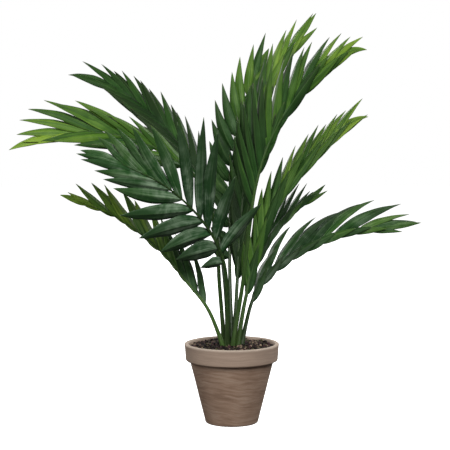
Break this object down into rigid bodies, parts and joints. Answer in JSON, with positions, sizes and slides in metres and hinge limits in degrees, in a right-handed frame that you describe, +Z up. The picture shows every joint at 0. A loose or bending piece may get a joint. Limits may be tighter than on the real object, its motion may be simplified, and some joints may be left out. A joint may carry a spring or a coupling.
{
  "type": "potted palm",
  "caption": "Small palm with arching feathered fronds that rise from one crown, planted in a tapered clay pot with a thick rim.",
  "frame": {"origin": "the middle of the pot's base, on the surface that the pot stands on", "axes": "+Z up along the pot's axis; -Y towards the viewer of the plant's front; +X to that viewer's right"},
  "size_m": [0.588, 0.4275, 0.5959],
  "materials": {
    "clay": "matte, faintly marbled",
    "soil": "rough",
    "granules": "rough",
    "stalk_green": "satin",
    "leaf_green": "satin"
  },
  "bodies": {
    "root": {"pot": "clay", "potting_mix": "soil", "granule_topping": "granules", "crown": "stalk_green", "stalk_far_left": "stalk_green", "blade_far_left": "leaf_green", "stalk_upper_left": "stalk_green", "blade_upper_left": "leaf_green", "stalk_front_left": "stalk_green", "blade_front_left": "leaf_green", "stalk_low_left": "stalk_green", "blade_low_left": "leaf_green", "stalk_centre_back": "stalk_green", "blade_centre_back": "leaf_green", "stalk_tall_front": "stalk_green", "blade_tall_front": "leaf_green", "stalk_tall_back": "stalk_green", "blade_tall_back": "leaf_green", "stalk_mid_right": "stalk_green", "blade_mid_right": "leaf_green", "stalk_short_right": "stalk_green", "blade_short_right": "leaf_green", "stalk_low_right": "stalk_green", "blade_low_right": "leaf_green"}
  },
  "joints": []
}
